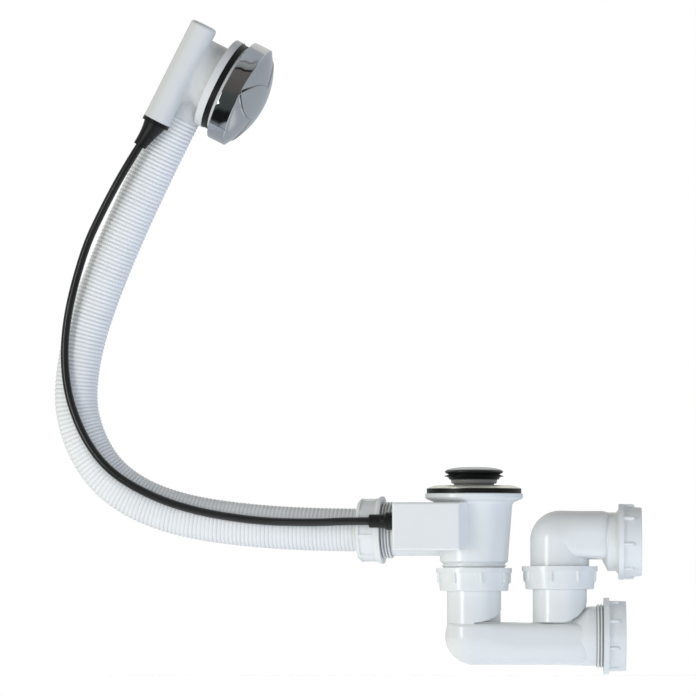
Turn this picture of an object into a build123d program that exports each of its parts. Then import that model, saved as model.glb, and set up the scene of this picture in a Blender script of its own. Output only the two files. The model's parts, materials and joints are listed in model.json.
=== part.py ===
from build123d import *
import os
from math import asin, atan2, cos, degrees, radians, sin, tan

# Bath waste and overflow with a cable-worked plug, a flexible overflow hose and a tubular trap.
# Origin: centre of the waste seat, under the strainer. +Z is up, -X goes to the overflow, -Y to the front.
# The plug is modelled raised, with the knob in its open position.

# Shared fits
RUNNING = 0.05
LOOSE = 0.3
SEAT_GAP = 0.1
WALL = 2.6

# Waste seat, strainer and gasket
STRAINER_R = 35.0
STRAINER_RISE = 2.4
STRAINER_EDGE = 0.8
STRAINER_SLOPE_W = 4.0
STRAINER_CROWN = 0.3
STRAINER_SHEET = 1.1
STRAINER_CUP_DEPTH = 12.0
STRAINER_SPOKES = 4
STRAINER_SPOKE_W = 5.0
WASTE_GASKET_R = 35.0
WASTE_GASKET_T = 3.6

# Waste body: flange, tapered bowl and threaded outlet
WASTE_FLANGE_R = 36.2
WASTE_FLANGE_EDGE = 3.2
WASTE_NECK_R = 28.3
WASTE_NECK_DROP = 7.2
BOWL_END_R = 25.0
BOWL_END_Z = -54.0
BOWL_MOUTH_R = 24.6
OUTLET_THREAD_R = 23.9
OUTLET_THREAD_END = 68.0
OUTLET_WALL = 3.9
THREAD_PITCH = 2.3
THREAD_DEPTH = 1.2
HUB_R = 7.5
HUB_TOP = -16.0
HUB_HEIGHT = 10.0
HUB_RIBS = 3
HUB_RIB_T = 3.0

# Plug, in its raised place
PLUG_R = 21.65
PLUG_LIFT = 9.5
PLUG_TOP = 16.0
PLUG_CAP_H = 4.0
PLUG_CROWN = 0.9
PLUG_SHOULDER_R = 2.3
SEAL_LIP_R = 22.0
SEAL_ROOT_R = 20.2
SEAL_H = 5.2
CARRIER_R = 17.25
CARRIER_HUB_R = 10.0
CARRIER_H = 4.2
STEM_R = 2.4
STEM_TIP = 1.6

# Strainer screw
SCREW_R = 5.0
SCREW_HEAD_R = 6.2
SCREW_HEAD_H = 2.8
SCREW_LENGTH = 13.5

# Inlet branch towards the overflow hose
INLET_Z = -30.6
INLET_R = 19.0
INLET_THREAD_R = 20.95
INLET_THREAD_START = 60.3
INLET_THREAD_LENGTH = 14.7
INLET_BORE_R = 14.0
HOSE_SEAT_DEPTH = 13.0
INLET_NUT_START = 67.7
INLET_NUT_LENGTH = 18.1
INLET_NUT_WALL = 2.45
INLET_NUT_FLANGE_LIP = 4.0
INLET_NUT_FLANGE_EDGE = 1.7
INLET_NUT_FLANGE_T = 3.9
INLET_NUT_CHAMFER = 2.2
INLET_NUT_LIP = 4.0
INLET_NUT_PANELS = 8
PANEL_DEPTH = 0.9
PANEL_RIB_W = 3.0
PANEL_PHASE = 33.0
HOSE_SEAL_T = 3.0

# Gear box on the front of the waste body
BOX_LEFT = -55.4
BOX_RIGHT = -5.3
BOX_FRONT = -40.0
BOX_TOP = -10.5
BOX_BOTTOM = -46.0
BOX_SIDE_SLANT = 6.0
BOX_SIDE_DEPTH = 13.3
BOX_FOOT_RISE = 4.5
BOX_BACK = -12.0
BOX_EDGE_R = 1.8
BOX_WALL = 2.4
COVER_T = 2.5
CAVITY_BACK = -25.6

# Plug lifting gear inside the box
CABLE_R = 3.0
CABLE_Y = -31.0
CABLE_Z = -24.2
SHAFT_X = -20.0
SHAFT_Z = -39.6
SHAFT_R = 2.5
SHAFT_INNER_END = 4.0
CRANK_ARM = 23.2
CRANK_HUB_R = 3.6
CRANK_T = 3.0
CRANK_PEG_R = 1.8
FINGER_R = 2.0
FINGER_W = 6.0
SLIDE_L = 11.0
SLIDE_H = 12.0
SLIDE_T = 5.2
SLIDE_CAP = 1.0
WIRE_R = 0.8
WIRE_BORE_R = 1.2
WIRE_INSET = 3.0
SHAFT_SEAL_R = 4.6
SHAFT_SEAL_T = 2.0

# Lower cable boot
LOWER_BOOT_FLANGE_R = 6.6
LOWER_BOOT_FLANGE_T = 6.4
LOWER_BOOT_R = 5.0
LOWER_BOOT_LENGTH = 18.3

# Overflow head: place, slope and sizes along its axis
HEAD_X = -191.12
HEAD_Z = 301.27
HEAD_SLOPE = 27.0
HEAD_FLANGE_R = 34.8
HEAD_FLANGE_BACK = 2.2
HEAD_FLANGE_FRONT = 3.4
DRUM_R = 26.0
DRUM_DEPTH = 31.5
DRUM_EDGE_R = 7.0
HEAD_GASKET_R = 34.0
HEAD_GASKET_BORE_R = 27.0
HEAD_GASKET_T = 4.4
FRONT_PLATE_R = 33.4
FRONT_PLATE_T = 2.3
FRONT_BAR_T = 3.0
FRONT_BAR_W = 13.0
FRONT_HUB_R = 8.0
FRONT_HUB_LENGTH = 18.0
HEAD_SCREW_R = 2.0
HEAD_SCREW_HEAD_R = 3.6
HEAD_SCREW_HEAD_H = 2.0
HEAD_SCREW_LENGTH = 14.0
HEAD_SCREW_OFFSET = 19.6
BOSS_R = 4.6
BOSS_BACK = 13.0

# Hose collar and cable tube on the overflow head
HOSE_R = 16.0
HOSE_BORE_R = 13.4
HOSE_BACK = 15.8
COLLAR_END = 36.0
SPIGOT_LENGTH = 12.0
COLLAR_BORE_R = 11.0
TUBE_R = 10.2
TUBE_BORE_R = 7.2
TUBE_BACK = 25.3
TUBE_SIDE = 24.9
TUBE_ABOVE = 34.8
TUBE_EDGE_R = 2.6
TUBE_BLEND_R = 9.0
TUBE_BELOW = 44.7

# Knob, its crank and the upper cable slide
KNOB_R = 39.5
KNOB_BACK = 10.6
KNOB_BAND = 13.3
KNOB_DOME = 13.5
KNOB_SKIN = 2.4
KNOB_BOSS_R = 7.5
KNOB_EDGE_R = 1.6
SPINDLE_R = 4.0
SPINDLE_INSERT = 9.0
KNOB_ARM = 19.3
KNOB_ARM_T = 3.6
KNOB_ARM_BACK = 17.9
KNOB_PEG_R = 2.0
KNOB_PEG_REACH = 7.8
UPPER_SLIDE_L = 24.0

# Upper cable boot
UPPER_BOOT_FLANGE_R = 10.4
UPPER_BOOT_FLANGE_T = 3.0
UPPER_BOOT_NECK_R = 8.6
UPPER_BOOT_WAIST_R = 6.1
UPPER_BOOT_BORE = 8.0
UPPER_BOOT_TIP_R = 4.9
UPPER_BOOT_PLUG = 6.0

# Trap, turned from the overflow's plane
TRAP_TURN = 9.0
TRAP_REACH = 63.4
LEG_R = 20.0
LEG_WALL = 2.6
LEG_COLLAR_GAP = 0.45
LEG_COLLAR_T = 2.0
LEG_BEND_Z = -110.0
CROSS_R = 15.6
CROSS_Z = -114.7
CROSS_BLEND = 34.0
LEFT_DOME_START = -84.6
RISER_DOME_START = -75.6
LEG_FOOT_Z = -99.0
NECK_R = 13.0
WEB_T = 3.2
NUB_R = 1.2

# Union nuts of the trap, alike on three joints
NUT_FLANGE_LIP = 4.05
NUT_FLANGE_T = 3.6
NUT_WALL = 2.45
NUT_END_WALL = 1.35
NUT_H = 17.0
NUT_SHOULDER_T = 3.6
NUT_LUGS = 8
LUG_R = 1.45
LUG_L = 8.0
LUG_ROOT = 0.5
LEFT_NUT_Z = -58.7
RISER_NUT_Z = -57.4
WASHER_T = 2.0

# Clean-out neck and cap
CLEANOUT_Z = -109.1
CLEANOUT_R = 22.0
CLEANOUT_FLARE_START = 66.0
CLEANOUT_FLARE_END = 84.5
CLEANOUT_THREAD_R = 23.9
CLEANOUT_THREAD_START = 90.3
CLEANOUT_THREAD_L = 15.5
CAP_START = 95.8
CAP_FLANGE_LIP = 4.55
CAP_FLANGE_T = 4.0
CAP_WALL = 2.25
CAP_END_WALL = 1.95
CAP_H = 16.5
CAP_END_T = 3.0

# Outlet elbow
ELBOW_Z = -34.4
ELBOW_R = 17.8
SPIGOT_STEP = 2.1
BALL_CROWN = 0.2
ELBOW_THREAD_TOP = -58.0
SOCKET_Z = -39.3
SOCKET_STEP = 2.2
SOCKET_WALL = 3.75
SOCKET_FLARE_START = 94.5
SOCKET_START = 99.0
SOCKET_END = 118.6
SOCKET_THREAD_START = 105.4
SOCKET_NUT_START = 106.9

# Routes of the two cords, chosen by hand along their centre lines
HOSE_ROUTE = [
    (-62.0, 0.0, -30.6),
    (-109.5, 0.0, -30.6),
    (-167.4, 0.0, -27.4),
    (-217.6, 0.0, -20.2),
    (-255.6, 0.0, -6.4),
    (-282.8, 0.0, 16.1),
    (-299.5, 0.0, 53.4),
    (-298.4, 0.0, 91.2),
    (-286.2, 0.0, 136.5),
]
HOSE_LAST_RUN = 70.0
CABLE_FIRST_RUN = 21.0
CABLE_LAST_RUN = 18.0
CABLE_ROUTE = [
    (-275.4, -21.2, 206.8),
    (-290.0, -20.6, 176.3),
    (-304.1, -20.2, 122.4),
    (-304.1, -20.2, 79.0),
    (-293.2, -20.2, 44.6),
    (-275.2, -20.2, 17.3),
    (-248.6, -20.2, -1.1),
    (-211.6, -20.3, -15.5),
    (-160.8, -21.8, -24.1),
    (-115.0, -28.0, -25.3),
]
UPPER_BOOT_TIP = (-247.0, -24.2, 254.4)
UPPER_BOOT_LEAN = 33.0

BASE = (Align.CENTER, Align.CENTER, Align.MIN)


# Derived places
waste_top = -WASTE_GASKET_T
head = Plane(
    origin=(HEAD_X, 0, HEAD_Z),
    x_dir=(sin(radians(HEAD_SLOPE)), 0, cos(radians(HEAD_SLOPE))),
    z_dir=(cos(radians(HEAD_SLOPE)), 0, -sin(radians(HEAD_SLOPE))),
)
tube_axis = Plane(origin=(0, TUBE_SIDE, -TUBE_BACK), z_dir=(1, 0, 0), x_dir=(0, 1, 0))
collar_axis = Plane(origin=(0, 0, -HOSE_BACK), z_dir=(-1, 0, 0), x_dir=(0, 1, 0))
inlet_axis = Plane(origin=(0, 0, INLET_Z), z_dir=(-1, 0, 0), x_dir=(0, 1, 0))
cleanout_axis = Plane(origin=(0, 0, CLEANOUT_Z), z_dir=(1, 0, 0), x_dir=(0, 1, 0))
elbow_axis = Plane(origin=(0, 0, ELBOW_Z), z_dir=(1, 0, 0), x_dir=(0, 1, 0))
socket_axis = Plane(origin=(0, 0, SOCKET_Z), z_dir=(1, 0, 0), x_dir=(0, 1, 0))
front_axis = Plane(origin=(0, 0, 0), z_dir=(0, -1, 0), x_dir=(1, 0, 0))
swung = Rot(0, 0, TRAP_TURN)

# Sizes that follow a thread
nut_bore_r = OUTLET_THREAD_R + RUNNING
nut_flange_r = nut_bore_r + NUT_FLANGE_LIP
nut_r = nut_bore_r + NUT_WALL
nut_end_r = nut_bore_r + NUT_END_WALL
leg_collar_r = nut_bore_r - LEG_COLLAR_GAP
outlet_bore_r = OUTLET_THREAD_R - OUTLET_WALL
spigot_r = OUTLET_THREAD_R - SPIGOT_STEP
socket_r = OUTLET_THREAD_R - SOCKET_STEP
socket_bore_r = OUTLET_THREAD_R - SOCKET_WALL
inlet_nut_bore_r = INLET_THREAD_R + RUNNING
inlet_nut_flange_r = inlet_nut_bore_r + INLET_NUT_FLANGE_LIP
inlet_nut_r = inlet_nut_bore_r + INLET_NUT_WALL
cap_bore_r = CLEANOUT_THREAD_R + RUNNING
cap_flange_r = cap_bore_r + CAP_FLANGE_LIP
cap_r = cap_bore_r + CAP_WALL
cap_end_r = cap_bore_r + CAP_END_WALL

# The finger's half swing gives the plug's lift; crank, cable and knob follow from it.
finger_reach = -SHAFT_X
lift_swing = degrees(asin(PLUG_LIFT / 2 / finger_reach))
cable_travel = 2 * CRANK_ARM * sin(radians(lift_swing))
knob_swing = degrees(asin(cable_travel / 2 / KNOB_ARM))


def rod(radius, start, end):
    return Pos(0, 0, start) * Cylinder(radius, end - start, align=BASE)


def ring(outer, inner, start, end):
    return rod(outer, start, end) - rod(inner, start, end)


def turned(points):
    outline = Polyline(*[(r, 0, z) for r, z in points], close=True)
    return revolve(make_face(outline), Axis.Z)


def ball_arc(rim, crown):
    """Arc of a ball centred on the turning axis, from the rim (r, z) up or down to the crown z."""
    rise = crown - rim[1]
    ball = (rim[0] ** 2 + rise ** 2) / (2 * rise)
    half = atan2(rim[0], ball - rise if rise > 0 else rise - ball) / 2
    middle = (abs(ball) * sin(half), 0, crown - ball + ball * cos(half))
    return ThreePointArc((rim[0], 0, rim[1]), middle, (0, 0, crown))


def domed(points, crown):
    """Solid of revolution whose outline runs from the axis through the points and closes in a ball arc."""
    outline = Polyline(*[(r, 0, z) for r, z in [(0, crown)] + points])
    return revolve(make_face(outline + ball_arc(points[-1], crown)), Axis.Z)


def flat(points):
    return make_face(Polyline(*points, close=True))


def thread_points(crest, start, end):
    """Ridge outline of a coarse thread, from start to end along the axis."""
    step = THREAD_PITCH if end > start else -THREAD_PITCH
    count = int((end - start) / step)
    points = []
    for i in range(count):
        z = start + i * step
        points += [(crest - THREAD_DEPTH, z), (crest - THREAD_DEPTH, z + 0.25 * step)]
        points += [(crest, z + 0.5 * step), (crest, z + 0.75 * step)]
    return points + [(crest - THREAD_DEPTH, end)]


def threaded_sleeve(crest, bore, start, end):
    return turned(thread_points(crest, start, end) + [(bore, end), (bore, start)])


def about_shaft(shape, angle):
    """Turn a lifting piece about the shaft; a positive angle raises the finger."""
    shaft = Axis((SHAFT_X, 0, SHAFT_Z), (0, -1, 0))
    return shape.rotate(shaft, angle)


def gear_box():
    """Whole gear box with its lid, before the two are parted."""
    plan = flat([
        (BOX_LEFT, BOX_FRONT),
        (BOX_RIGHT, BOX_FRONT),
        (BOX_RIGHT + BOX_SIDE_SLANT, BOX_FRONT + BOX_SIDE_DEPTH),
        (BOX_RIGHT + BOX_SIDE_SLANT, BOX_BACK),
        (BOX_LEFT, BOX_BACK),
    ])
    block = extrude(Pos(0, 0, BOX_BOTTOM) * plan, BOX_TOP - BOX_BOTTOM)
    foot = flat([
        (BOX_RIGHT, BOX_BOTTOM),
        (BOX_RIGHT + BOX_SIDE_SLANT, BOX_BOTTOM + BOX_FOOT_RISE),
        (BOX_RIGHT + BOX_SIDE_SLANT, BOX_BOTTOM),
    ])
    block -= extrude(Plane.XZ * foot, -BOX_BACK - BOX_FRONT, both=True)
    front_edges = block.faces().sort_by(Axis.Y)[0].edges()
    return fillet(front_edges, BOX_EDGE_R)


def box_cavity():
    outline = flat([
        (BOX_LEFT + BOX_WALL, BOX_TOP - BOX_WALL),
        (BOX_RIGHT - BOX_WALL, BOX_TOP - BOX_WALL),
        (BOX_RIGHT - BOX_WALL, BOX_BOTTOM + BOX_WALL),
        (BOX_LEFT + BOX_WALL, BOX_BOTTOM + BOX_WALL),
    ])
    return extrude(Plane.XZ.offset(-CAVITY_BACK) * outline, CAVITY_BACK - BOX_FRONT - COVER_T)


def waste_body():
    bowl = turned([
        (0, waste_top),
        (WASTE_FLANGE_R - 0.7, waste_top),
        (WASTE_FLANGE_R, waste_top - 0.7),
        (WASTE_FLANGE_R, waste_top - WASTE_FLANGE_EDGE),
        (WASTE_FLANGE_R - 1.6, waste_top - WASTE_FLANGE_EDGE - 1.2),
        (WASTE_NECK_R + 1.4, waste_top - WASTE_NECK_DROP + 0.9),
        (WASTE_NECK_R, waste_top - WASTE_NECK_DROP - 0.9),
        (BOWL_END_R, BOWL_END_Z),
        (OUTLET_THREAD_R - THREAD_DEPTH, BOWL_END_Z - 1.7),
        (0, BOWL_END_Z - 1.7),
    ])
    thread = threaded_sleeve(OUTLET_THREAD_R, outlet_bore_r, BOWL_END_Z - 1.7, -OUTLET_THREAD_END)
    branch = inlet_axis * rod(INLET_R, 0, INLET_THREAD_START + 0.1)
    box = split(gear_box(), Plane.XZ.offset(-BOX_FRONT - COVER_T), keep=Keep.BOTTOM)
    solid = bowl + branch + box
    solid -= turned([
        (0, waste_top),
        (BOWL_MOUTH_R, waste_top),
        (WASTE_NECK_R - WALL, waste_top - WASTE_NECK_DROP),
        (BOWL_END_R - WALL, BOWL_END_Z + 1.0),
        (outlet_bore_r, BOWL_END_Z - 1.7),
        (0, BOWL_END_Z - 1.7),
    ])
    solid -= inlet_axis * rod(INLET_BORE_R, 0, INLET_THREAD_START + 0.1)
    solid -= rod(outlet_bore_r, -OUTLET_THREAD_END, BOWL_END_Z)
    solid -= box_cavity()
    solid -= front_axis * Pos(SHAFT_X, SHAFT_Z, 0) * rod(SHAFT_R + RUNNING, 0, -CAVITY_BACK + 1.0)
    solid -= front_axis * Pos(SHAFT_X, SHAFT_Z, 0) * rod(
        SHAFT_SEAL_R + RUNNING, -CAVITY_BACK - SHAFT_SEAL_T, -CAVITY_BACK + 1.0)
    solid -= Pos(BOX_LEFT - 1.0, CABLE_Y, CABLE_Z) * Rot(0, 90, 0) * rod(WIRE_BORE_R, 0, BOX_WALL + 2.0)
    mouth = INLET_THREAD_START + INLET_THREAD_LENGTH
    inlet_thread = threaded_sleeve(INLET_THREAD_R, HOSE_R + LOOSE, INLET_THREAD_START, mouth)
    solid += inlet_axis * inlet_thread
    solid -= inlet_axis * rod(HOSE_R + LOOSE, mouth - HOSE_SEAT_DEPTH, mouth)
    return solid + thread + waste_hub()


def waste_hub():
    """Hub for the strainer screw on ribs across the bowl, clear of the inlet."""
    hub = rod(HUB_R, HUB_TOP - HUB_HEIGHT, HUB_TOP)
    reach = WASTE_NECK_R - 1.2
    rib = Pos(0, 0, HUB_TOP - HUB_HEIGHT + 1.0) * Box(
        reach, HUB_RIB_T, HUB_HEIGHT - 2.0, align=(Align.MIN, Align.CENTER, Align.MIN))
    for i in range(HUB_RIBS):
        hub += Rot(0, 0, i * 360 / HUB_RIBS) * rib
    return hub - rod(SCREW_R + RUNNING, HUB_TOP - HUB_HEIGHT, HUB_TOP)


def mechanism_cover():
    return split(gear_box(), Plane.XZ.offset(-BOX_FRONT - COVER_T), keep=Keep.TOP)


def waste_gasket():
    return ring(WASTE_GASKET_R, BOWL_MOUTH_R, waste_top, 0)


def seat_points(grow):
    """Seat line of the plug's seal when closed, grown outwards by a clearance."""
    lower = PLUG_TOP - PLUG_CAP_H - SEAL_H - PLUG_LIFT
    return [
        (SEAL_LIP_R + grow, STRAINER_RISE),
        (SEAL_LIP_R + grow, lower + 2.3),
        (CARRIER_R + 1.0 + grow, lower - 0.2),
        (CARRIER_R + 1.0 + grow, -STRAINER_CUP_DEPTH),
    ]


def strainer():
    inside = seat_points(LOOSE)
    cup_r = CARRIER_R + 1.0 + LOOSE + STRAINER_SHEET
    floor = -STRAINER_CUP_DEPTH - STRAINER_SHEET
    shell = turned([
        (STRAINER_R, 0),
        (STRAINER_R, STRAINER_EDGE),
        (STRAINER_R - STRAINER_SLOPE_W, STRAINER_RISE - STRAINER_CROWN),
        (STRAINER_R - 2 * STRAINER_SLOPE_W, STRAINER_RISE),
        *inside,
        (SCREW_R + LOOSE, -STRAINER_CUP_DEPTH),
        (SCREW_R + LOOSE, floor),
        (cup_r, floor),
        (cup_r, inside[2][1] - STRAINER_SHEET),
        (BOWL_MOUTH_R - LOOSE, inside[1][1] - STRAINER_SHEET),
        (BOWL_MOUTH_R - LOOSE, 0),
    ])
    window = ring(CARRIER_R - 1.0, HUB_R + 1.5, floor - 1.0, floor + STRAINER_SHEET + 1.0)
    for i in range(STRAINER_SPOKES):
        spoke = Box(
            STRAINER_R, STRAINER_SPOKE_W, STRAINER_CUP_DEPTH, align=(Align.MIN, Align.CENTER, Align.CENTER))
        window -= Rot(0, 0, (i + 0.5) * 360 / STRAINER_SPOKES) * Pos(0, 0, floor) * spoke
    return shell - window


def strainer_screw():
    seat = -STRAINER_CUP_DEPTH
    screw = rod(SCREW_HEAD_R, seat, seat + SCREW_HEAD_H) + rod(SCREW_R, seat - SCREW_LENGTH, seat)
    return screw - rod(STEM_R + LOOSE, seat - SCREW_LENGTH, seat + SCREW_HEAD_H)


cap_under = PLUG_TOP - PLUG_CAP_H
seal_under = cap_under - SEAL_H
carrier_under = seal_under - CARRIER_H
finger_top = SHAFT_Z + finger_reach * sin(radians(lift_swing)) + FINGER_R
stem_end = finger_top + LOOSE


def plug_cap():
    shoulder = PLUG_TOP - PLUG_CROWN
    side = [(0, cap_under), (PLUG_R - 0.6, cap_under), (PLUG_R, cap_under + 0.6), (PLUG_R, shoulder)]
    cap = domed(side, PLUG_TOP)
    rim = cap.edges().filter_by(lambda edge: edge.is_closed).sort_by(Axis.Z)[-1]
    return fillet(rim, PLUG_SHOULDER_R)


def plug_seal():
    return turned([
        (CARRIER_HUB_R, cap_under),
        (SEAL_ROOT_R + 0.8, cap_under),
        (SEAL_LIP_R - 0.3, cap_under - 0.8),
        (SEAL_ROOT_R, cap_under - 1.8),
        (SEAL_LIP_R, cap_under - 2.75),
        (SEAL_ROOT_R - 0.6, cap_under - 3.7),
        (CARRIER_R + 1.0, seal_under),
        (CARRIER_HUB_R, seal_under),
    ])


def plug_carrier():
    carrier = turned([
        (0, cap_under),
        (CARRIER_HUB_R, cap_under),
        (CARRIER_HUB_R, seal_under),
        (CARRIER_R - 0.4, seal_under),
        (CARRIER_R, seal_under - 0.4),
        (CARRIER_R - 0.6, carrier_under + 1.3),
        (CARRIER_R - 2.2, carrier_under + 1.1),
        (CARRIER_R - 2.6, carrier_under),
        (0, carrier_under),
    ])
    return carrier - rod(STEM_R, carrier_under, cap_under - 3.0)


def plug_stem():
    tip = STEM_R - STEM_TIP
    return turned([
        (0, stem_end),
        (tip, stem_end),
        (STEM_R, stem_end + STEM_TIP),
        (STEM_R, cap_under - 3.0),
        (0, cap_under - 3.0),
    ])


def lift_crank():
    """Shaft, crank arm and peg, drawn with the arm upright and then turned to the open place."""
    bore = front_axis * Pos(SHAFT_X, SHAFT_Z, 0)
    back = -CAVITY_BACK + 1.0
    shape = bore * rod(SHAFT_R, -SHAFT_INNER_END, back)
    shape += bore * rod(CRANK_HUB_R, back, back + CRANK_T)
    arm = Pos(SHAFT_X, SHAFT_Z + CRANK_ARM / 2, back) * Box(
        2 * CRANK_PEG_R + 1.0, CRANK_ARM, CRANK_T, align=BASE)
    shape += front_axis * arm
    peg = front_axis * Pos(SHAFT_X, SHAFT_Z + CRANK_ARM, 0)
    shape += peg * rod(CRANK_PEG_R + 0.5, back, back + CRANK_T)
    shape += peg * rod(CRANK_PEG_R, back, back + CRANK_T + LOOSE + SLIDE_T)
    return about_shaft(shape, lift_swing)


def lift_finger():
    half = FINGER_W / 2
    at_shaft = front_axis * Pos(SHAFT_X, SHAFT_Z, 0)
    shape = at_shaft * rod(SHAFT_R + 2.0, -half, half)
    shape += Pos(SHAFT_X, 0, SHAFT_Z) * Box(
        finger_reach, FINGER_W, 2 * FINGER_R, align=(Align.MIN, Align.CENTER, Align.CENTER))
    shape += front_axis * Pos(0, SHAFT_Z, 0) * rod(FINGER_R, -half, half)
    shape -= at_shaft * rod(SHAFT_R + RUNNING, -half, half)
    return about_shaft(shape, lift_swing)


def shaft_seal():
    at_shaft = front_axis * Pos(SHAFT_X, SHAFT_Z, 0)
    return at_shaft * ring(SHAFT_SEAL_R, SHAFT_R + RUNNING, -CAVITY_BACK - SHAFT_SEAL_T, -CAVITY_BACK)


def cable_slide_lower():
    """Slide with a tall slot for the crank's peg, at the pulled end of its travel."""
    slot_x = SHAFT_X - cable_travel / 2
    peg_low = SHAFT_Z + CRANK_ARM * cos(radians(lift_swing)) - CRANK_PEG_R - LOOSE
    peg_high = SHAFT_Z + CRANK_ARM + CRANK_PEG_R + LOOSE
    slide_top = peg_high + SLIDE_CAP
    slide_y = CAVITY_BACK - 1.0 - CRANK_T - LOOSE - SLIDE_T / 2
    block = Pos(slot_x, slide_y, slide_top) * Box(
        SLIDE_L, SLIDE_T, slide_top - CABLE_Z + SLIDE_H / 4, align=(Align.CENTER, Align.CENTER, Align.MAX))
    slot_w = 2 * (CRANK_PEG_R + LOOSE)
    block -= Pos(slot_x, slide_y, peg_low) * Box(
        slot_w, 2 * SLIDE_T, peg_high - peg_low, align=BASE)
    wire_end = BOX_LEFT - LOWER_BOOT_FLANGE_T - 4.0
    wire = Pos(wire_end, CABLE_Y, CABLE_Z) * Rot(0, 90, 0) * rod(
        WIRE_R, 0, slot_x - SLIDE_L / 2 - wire_end + 0.5)
    return block + wire


def lower_boot():
    boot = turned([
        (WIRE_BORE_R, 0),
        (LOWER_BOOT_FLANGE_R, 0),
        (LOWER_BOOT_FLANGE_R, LOWER_BOOT_FLANGE_T - 1.2),
        (LOWER_BOOT_R + 0.6, LOWER_BOOT_FLANGE_T),
        (LOWER_BOOT_R, LOWER_BOOT_FLANGE_T + 3.0),
        (LOWER_BOOT_R, LOWER_BOOT_LENGTH - 0.6),
        (LOWER_BOOT_R - 0.6, LOWER_BOOT_LENGTH),
        (0, LOWER_BOOT_LENGTH),
        (0, LOWER_BOOT_LENGTH - 2.0),
        (WIRE_BORE_R, LOWER_BOOT_LENGTH - 2.0),
    ])
    return Pos(BOX_LEFT, CABLE_Y, CABLE_Z) * Rot(0, -90, 0) * boot


def inlet_nut():
    lip = INLET_NUT_LENGTH - INLET_NUT_LIP
    nut = turned([
        (inlet_nut_bore_r, 0),
        (inlet_nut_flange_r, 0),
        (inlet_nut_flange_r, INLET_NUT_FLANGE_EDGE),
        (inlet_nut_r, INLET_NUT_FLANGE_T),
        (inlet_nut_r, INLET_NUT_LENGTH - INLET_NUT_CHAMFER),
        (inlet_nut_r - INLET_NUT_CHAMFER, INLET_NUT_LENGTH),
        (HOSE_R + LOOSE, INLET_NUT_LENGTH),
        (HOSE_R + LOOSE, lip),
        (inlet_nut_bore_r, lip),
    ])
    floor_r = inlet_nut_r - PANEL_DEPTH
    step = 360 / INLET_NUT_PANELS
    length = INLET_NUT_LENGTH - INLET_NUT_FLANGE_T - INLET_NUT_CHAMFER - 1.6
    panels = Pos(0, 0, INLET_NUT_FLANGE_T + 1.0) * ring(inlet_nut_r + 1.0, floor_r, 0, length)
    for i in range(INLET_NUT_PANELS):
        rib = Box(
            2 * inlet_nut_r, PANEL_RIB_W, 2 * INLET_NUT_LENGTH,
            align=(Align.MIN, Align.CENTER, Align.CENTER))
        panels -= Rot(0, 0, PANEL_PHASE + i * step) * rib
    return inlet_axis * Pos(0, 0, INLET_NUT_START) * (nut - panels)


def hose_seal():
    start = INLET_THREAD_START + INLET_THREAD_LENGTH + SEAT_GAP
    return inlet_axis * ring(INLET_THREAD_R - LOOSE, HOSE_R + RUNNING, start, start + HOSE_SEAL_T)


def drum_form(shrink, front):
    """Drum behind the overflow flange, rounded at its back; shrink gives its inside."""
    drum = rod(DRUM_R - shrink, shrink - DRUM_DEPTH, front)
    return fillet(drum.edges().sort_by(Axis.Z)[0], DRUM_EDGE_R - shrink)


def drum_and_tube():
    """Drum and cable tube flowing into each other by a hollow fillet along the line where they meet."""
    tube = rod(TUBE_R, -TUBE_BELOW, TUBE_ABOVE)
    form = drum_form(0, 0) + tube_axis * fillet(tube.edges().sort_by(Axis.Z)[-1], TUBE_EDGE_R)
    meeting = [edge for edge in form.edges() if edge.geom_type in (GeomType.BSPLINE, GeomType.LINE)
               and abs(edge.center().X) < DRUM_R and edge.center().Y < DRUM_R + 1.0]
    return fillet(meeting, TUBE_BLEND_R)


def overflow_body():
    solid = drum_and_tube() + rod(HEAD_FLANGE_R, -HEAD_FLANGE_BACK, HEAD_FLANGE_FRONT)
    solid += collar_axis * rod(HOSE_R, 0, COLLAR_END)
    solid += collar_axis * rod(HOSE_BORE_R - LOOSE, 0, COLLAR_END + SPIGOT_LENGTH)
    solid -= drum_form(WALL, HEAD_FLANGE_FRONT)
    solid -= tube_axis * rod(TUBE_BORE_R, -TUBE_BELOW, TUBE_ABOVE - WALL)
    solid -= collar_axis * rod(COLLAR_BORE_R, 0, COLLAR_END + SPIGOT_LENGTH)
    for side in (-1, 1):
        boss = Pos(0, side * HEAD_SCREW_OFFSET, 0) * rod(BOSS_R, -BOSS_BACK, HEAD_FLANGE_FRONT)
        solid += boss & rod(DRUM_R - WALL / 2, -BOSS_BACK, HEAD_FLANGE_FRONT)
        solid -= Pos(0, side * HEAD_SCREW_OFFSET, 0) * rod(
            HEAD_SCREW_R + RUNNING, WALL - BOSS_BACK, HEAD_FLANGE_FRONT)
    return head * solid


gasket_front = HEAD_FLANGE_FRONT + HEAD_GASKET_T
plate_front = gasket_front + FRONT_PLATE_T


def overflow_gasket():
    return head * ring(HEAD_GASKET_R, HEAD_GASKET_BORE_R, HEAD_FLANGE_FRONT, gasket_front)


def overflow_front_plate():
    plate = ring(FRONT_PLATE_R, DRUM_R, gasket_front, plate_front)
    bar = Pos(0, 0, plate_front - FRONT_BAR_T) * Box(FRONT_BAR_W, 2 * DRUM_R + 2.0, FRONT_BAR_T, align=BASE)
    plate += bar & rod(HEAD_GASKET_BORE_R - LOOSE, 0, plate_front)
    plate += rod(FRONT_HUB_R, plate_front - FRONT_HUB_LENGTH, plate_front)
    plate -= rod(SPINDLE_R + RUNNING, plate_front - FRONT_HUB_LENGTH, plate_front)
    for side in (-1, 1):
        plate -= Pos(0, side * HEAD_SCREW_OFFSET, 0) * rod(HEAD_SCREW_R + LOOSE, 0, plate_front)
    return head * plate


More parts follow.
